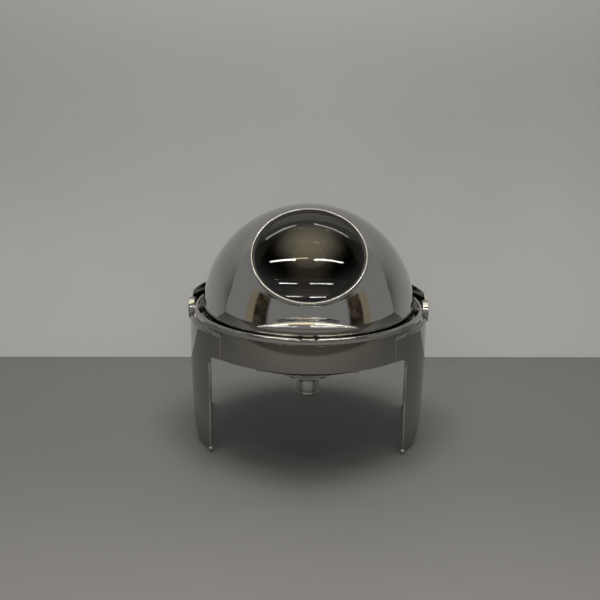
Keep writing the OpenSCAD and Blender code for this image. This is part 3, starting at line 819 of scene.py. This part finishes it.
# %% Floor and wall, in metres
WALL_Y = 0.434
WALL_TURN = math.tan(math.radians(2.2))
WALL_TOP = 1.12
HALF = 3.5
TABLE_Y = -1.0
FLOOR_BACK = 3.5
FAR_Y = -5.0
SUNK = -0.01
# The floor's colour is painted light and shade: lighter towards the front, and darker back under
# the chafer and towards the wall.
floor_painted_light = paint("floor_painted_light", "Y", -0.85, 0.0, (0.165, 0.162, 0.157),
                    (0.096, 0.096, 0.0955), 0.5)
# The far floor in front is dark: painted shade, for the shade on the camera's side, which the band
# and legs mirror.
far_painted_shade = paint("far_floor_painted_shade", "Y", -4.0, -1.0, (0.06, 0.056, 0.05),
                  (0.07, 0.063, 0.052), 0.6)
# The wall's colour is painted light and shade: lighter at its foot, darker towards the top.
wall_painted_shade = paint("wall_painted_shade", "Z", 0.05, 0.85, (0.76, 0.765, 0.77),
                   (0.42, 0.424, 0.428), 0.7)
back = [WALL_Y - HALF * WALL_TURN, WALL_Y + HALF * WALL_TURN]
panel("floor", [(-HALF, TABLE_Y, 0), (HALF, TABLE_Y, 0), (HALF, FLOOR_BACK, 0),
                (-HALF, FLOOR_BACK, 0)], floor_painted_light)
panel("far_floor", [(-HALF, FAR_Y, SUNK), (HALF, FAR_Y, SUNK), (HALF, TABLE_Y, SUNK),
                    (-HALF, TABLE_Y, SUNK)], far_painted_shade)
panel("wall", [(-HALF, back[0], SUNK), (HALF, back[1], SUNK), (HALF, back[1], WALL_TOP),
               (-HALF, back[0], WALL_TOP)], wall_painted_shade)

# %% Ceiling strips, by the ends of each one
CEILING = 2.3
STRIP_W = 0.07
STRIPS = (((-1.71, -0.62), (-0.53, -0.91), 7.0), ((0.19, -0.94), (1.44, -0.74), 7.0),
          ((-1.79, -2.26), (-0.68, -2.45), 6.0), ((0.08, -2.50), (1.47, -2.36), 6.0),
          ((-1.90, -3.92), (-0.55, -4.09), 9.0), ((0.10, -4.15), (1.45, -3.98), 9.0),
          ((-1.54, 0.87), (-0.41, 1.08), 1.2), ((0.13, 1.09), (1.32, 0.90), 1.2))


def lamp(name, place, size, power):
    data = bpy.data.lights.new(name, "AREA")
    data.shape = "RECTANGLE"
    data.size, data.size_y = size
    data.energy = power
    data.color = (1.0, 0.985, 0.955)
    made = bpy.data.objects.new(name, data)
    bpy.context.scene.collection.objects.link(made)
    made.location = place
    return made


for count, (start, end, power) in enumerate(STRIPS):
    ends = [LID_AXIS + Vector((x, y, CEILING)) for x, y in (start, end)]
    span = ends[1] - ends[0]
    tube = lamp(f"strip_{count}", (ends[0] + ends[1]) / 2, (span.length, STRIP_W), power)
    tube.rotation_euler.z = math.atan2(span.y, span.x)
print(len(STRIPS), "ceiling strips")

# %% [markdown]
# The strips are bright but narrow, and give hard little shadows. A wide soft lamp overhead does
# most of the lighting. Mirrors don't see it, so it leaves no white patch on the lid.

# %% Soft lamp overhead
OVERHEAD_PLACE = Vector((0, 0.05, 2.1))
OVERHEAD_SIZE = (1.3, 0.9)
OVERHEAD_POWER = 62.0
overhead = lamp("overhead", LID_AXIS + OVERHEAD_PLACE, OVERHEAD_SIZE, OVERHEAD_POWER)
overhead.visible_glossy = False
overhead.visible_transmission = False
print("overhead lamp", OVERHEAD_POWER, "W")


# %% [markdown]
# The rest of the room is the world: pale walls all round, and two dark doorways with tan frames
# towards the front left and right, whose reflections mark the lid below the window. The ceiling
# is dark to the front, where the glass mirrors it, with a warm glow straight above.

# %% World
def room():
    world = bpy.data.worlds.new("room")
    bpy.context.scene.world = world
    world.use_nodes = True
    tree = world.node_tree
    where = node(tree, "ShaderNodeTexCoord").outputs["Generated"]
    axes = node(tree, "ShaderNodeSeparateXYZ", {0: where})
    x, y, z = (axes.outputs[k] for k in range(3))
    turn = sums(tree, "ARCTAN2", sums(tree, "ABSOLUTE", x, 0), sums(tree, "MULTIPLY", y, -1))
    inside = sums(tree, "MULTIPLY", ramp(tree, turn, 0.72, 0.80), ramp(tree, turn, 1.24, 1.16))
    below = sums(tree, "MULTIPLY", inside, ramp(tree, z, 0.46, 0.38))
    mottled = ramp(tree, noise(tree, where, 6.0, 5.0, 0.65), 0.35, 0.75)
    doorway = node(tree, "ShaderNodeMix", data_type="RGBA")
    tree.links.new(ramp(tree, turn, 1.02, 1.07), doorway.inputs["Factor"])
    tree.links.new(blend_colours(tree, mottled, (0.02, 0.017, 0.012), (0.11, 0.085, 0.055)),
                   doorway.inputs["A"])
    doorway.inputs["B"].default_value = (0.27, 0.235, 0.17, 1)
    high = sums(tree, "MULTIPLY", ramp(tree, z, 0.55, 0.8), ramp(tree, y, 0.45, 0.25))
    pale = node(tree, "ShaderNodeMix", data_type="RGBA")
    tree.links.new(high, pale.inputs["Factor"])
    pale.inputs["A"].default_value = (0.272, 0.272, 0.268, 1)
    sideways = ramp(tree, sums(tree, "ABSOLUTE", x, 0), 0.12, 0.45)
    tree.links.new(blend_colours(tree, sideways, (0.28, 0.25, 0.18), (0.02, 0.02, 0.018)),
                   pale.inputs["B"])
    mixer = node(tree, "ShaderNodeMix", data_type="RGBA")
    tree.links.new(below, mixer.inputs["Factor"])
    tree.links.new(pale.outputs["Result"], mixer.inputs["A"])
    tree.links.new(doorway.outputs["Result"], mixer.inputs["B"])
    glow = node(tree, "ShaderNodeMix", data_type="RGBA")
    soft = ramp(tree, z, 0.80, 1.02)
    tree.links.new(sums(tree, "MULTIPLY", soft, soft), glow.inputs["Factor"])
    tree.links.new(mixer.outputs["Result"], glow.inputs["A"])
    glow.inputs["B"].default_value = (1.7, 1.55, 1.15, 1)
    tree.links.new(glow.outputs["Result"], tree.nodes["Background"].inputs["Color"])


room()
print("room set")
